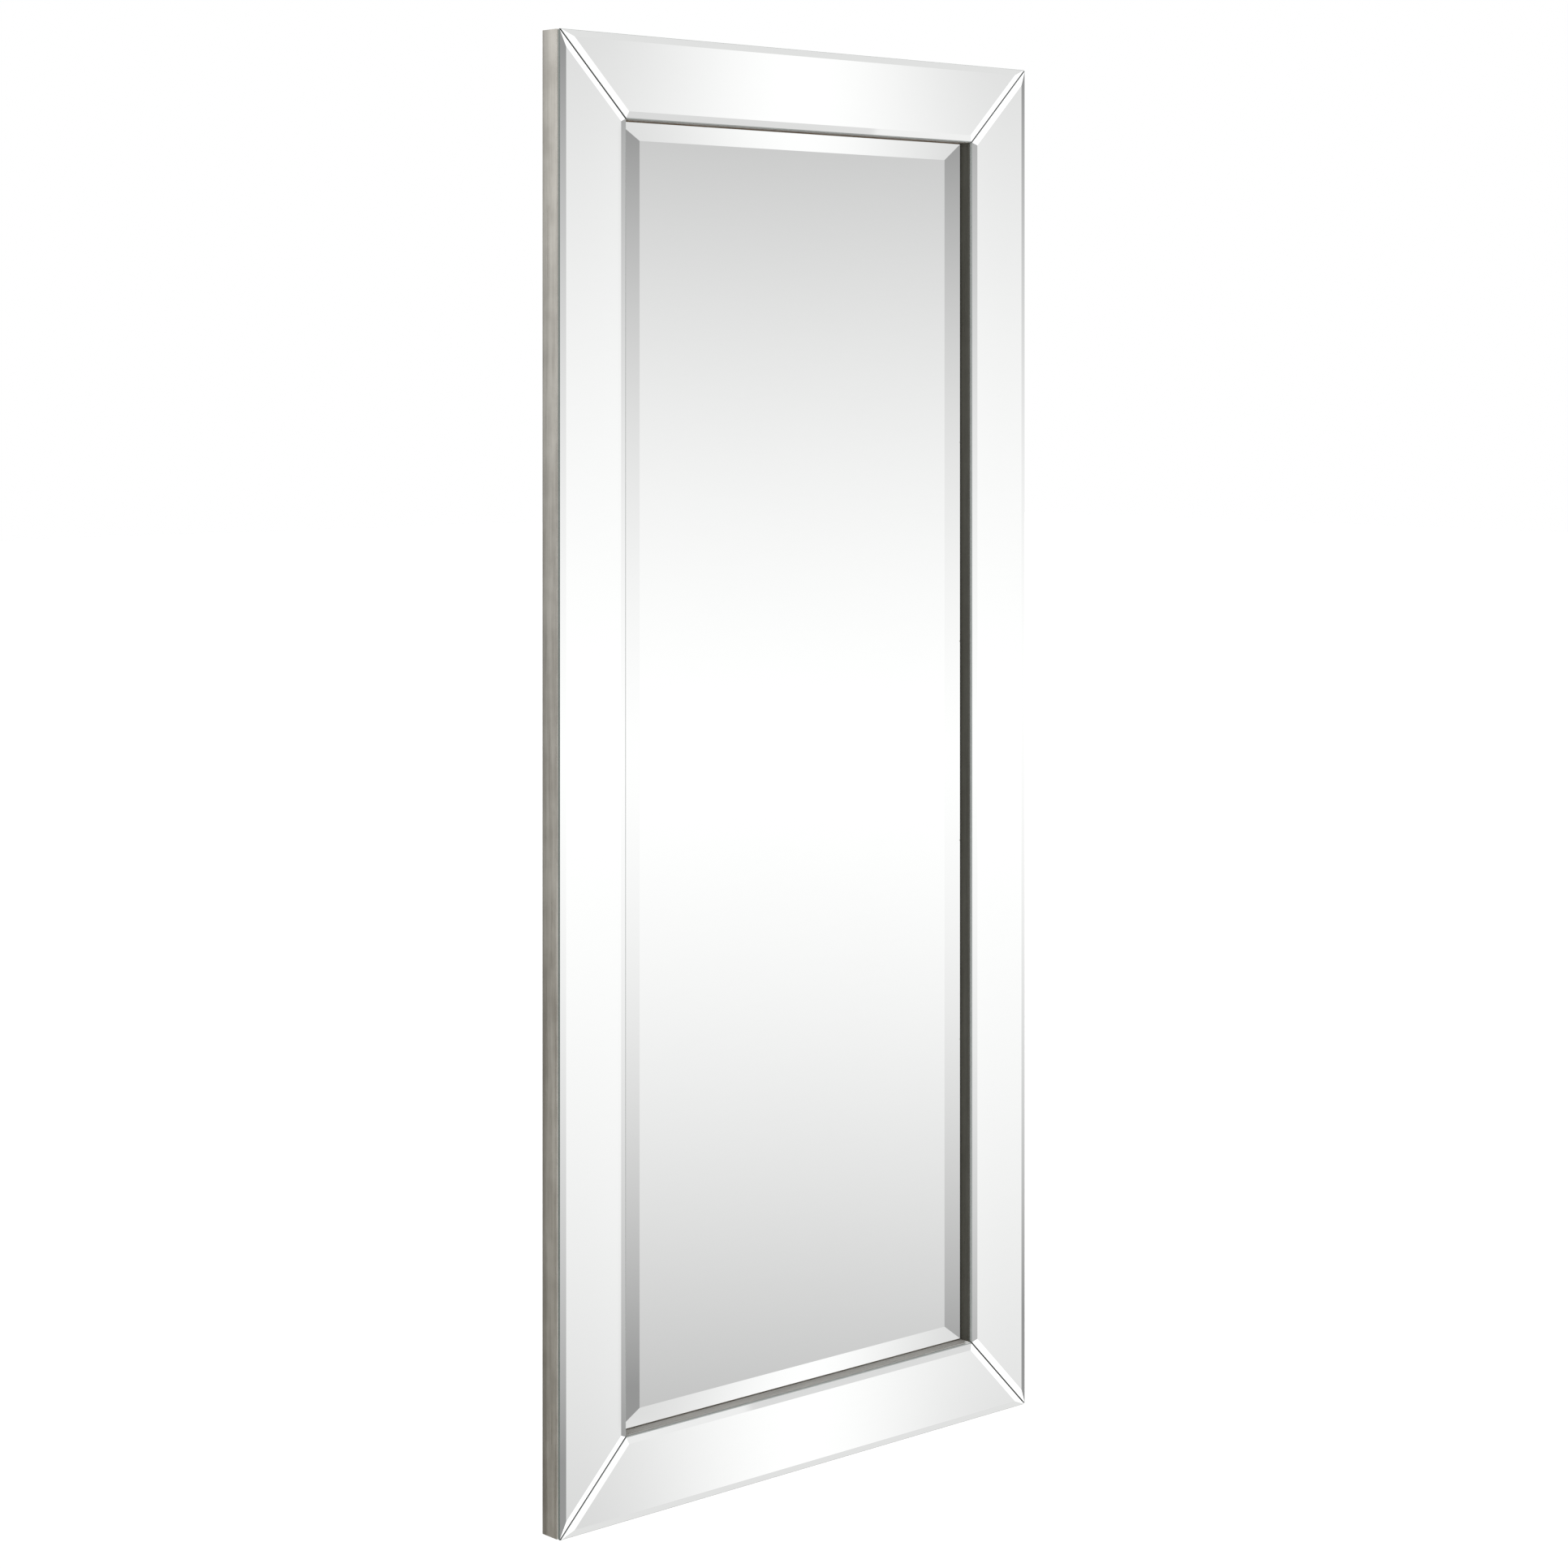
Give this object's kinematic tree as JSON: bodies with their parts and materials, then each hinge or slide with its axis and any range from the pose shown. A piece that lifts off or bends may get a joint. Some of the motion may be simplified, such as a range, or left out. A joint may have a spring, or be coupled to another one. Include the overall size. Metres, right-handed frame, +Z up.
{
  "type": "wall mirror",
  "caption": "Rectangular bevelled wall mirror in a wood frame faced with mitred bevelled mirror strips, with swinging ring hangers behind.",
  "frame": {"origin": "on the wall, midway between the two hooks that hold the mirror in portrait", "axes": "+X to the viewer's right, +Y into the wall, +Z up; the mirror faces -Y"},
  "size_m": [0.6096, 0.0336, 1.3716],
  "materials": {
    "mirror_glass": "silvered float glass, bevelled and polished",
    "painted_wood": "champagne silver paint, satin, faintly brushed",
    "board": "bare hardboard",
    "tape": "foam mounting tape",
    "zinc_steel": "bright zinc plate",
    "ring_steel": "nickel plate",
    "bumper_rubber": "soft translucent white"
  },
  "bodies": {
    "root": {"centre_mirror": "mirror_glass", "backing_board": "board", "centre_mirror_tapes": "tape", "corner_v_nails": "zinc_steel", "backing_board_screws": "zinc_steel", "hanger_screws": "zinc_steel", "top_mirror_strip": "mirror_glass", "top_strip_tapes": "tape", "bottom_mirror_strip": "mirror_glass", "bottom_strip_tapes": "tape", "left_mirror_strip": "mirror_glass", "left_strip_tapes": "tape", "right_mirror_strip": "mirror_glass", "right_strip_tapes": "tape", "top_rail": "painted_wood", "bottom_rail": "painted_wood", "left_stile": "painted_wood", "right_stile": "painted_wood", "portrait_left_strap": "zinc_steel", "portrait_right_strap": "zinc_steel", "landscape_top_strap": "zinc_steel", "landscape_bottom_strap": "zinc_steel", "top_left_bumper": "bumper_rubber", "top_right_bumper": "bumper_rubber", "bottom_left_bumper": "bumper_rubber", "bottom_right_bumper": "bumper_rubber"},
    "portrait_left_ring": {"portrait_left_ring": "ring_steel"},
    "portrait_right_ring": {"portrait_right_ring": "ring_steel"},
    "landscape_top_ring": {"landscape_top_ring": "ring_steel"},
    "landscape_bottom_ring": {"landscape_bottom_ring": "ring_steel"}
  },
  "joints": [
    {"name": "portrait_left_ring_swing", "type": "hinge", "parent": "root", "child": "portrait_left_ring", "pos_m": [-0.2658, -0.00345, -0.0155], "axis": [-1, 0, 0], "range_deg": [0, 179]},
    {"name": "portrait_right_ring_swing", "type": "hinge", "parent": "root", "child": "portrait_right_ring", "pos_m": [0.2658, -0.00345, -0.0155], "axis": [-1, 0, 0], "range_deg": [0, 179]},
    {"name": "landscape_top_ring_swing", "type": "hinge", "parent": "root", "child": "landscape_top_ring", "pos_m": [0.1393, -0.00345, 0.176], "axis": [0, 0, 1], "range_deg": [0, 179]},
    {"name": "landscape_bottom_ring_swing", "type": "hinge", "parent": "root", "child": "landscape_bottom_ring", "pos_m": [0.1393, -0.00345, -1.1176], "axis": [0, 0, 1], "range_deg": [0, 179]}
  ]
}
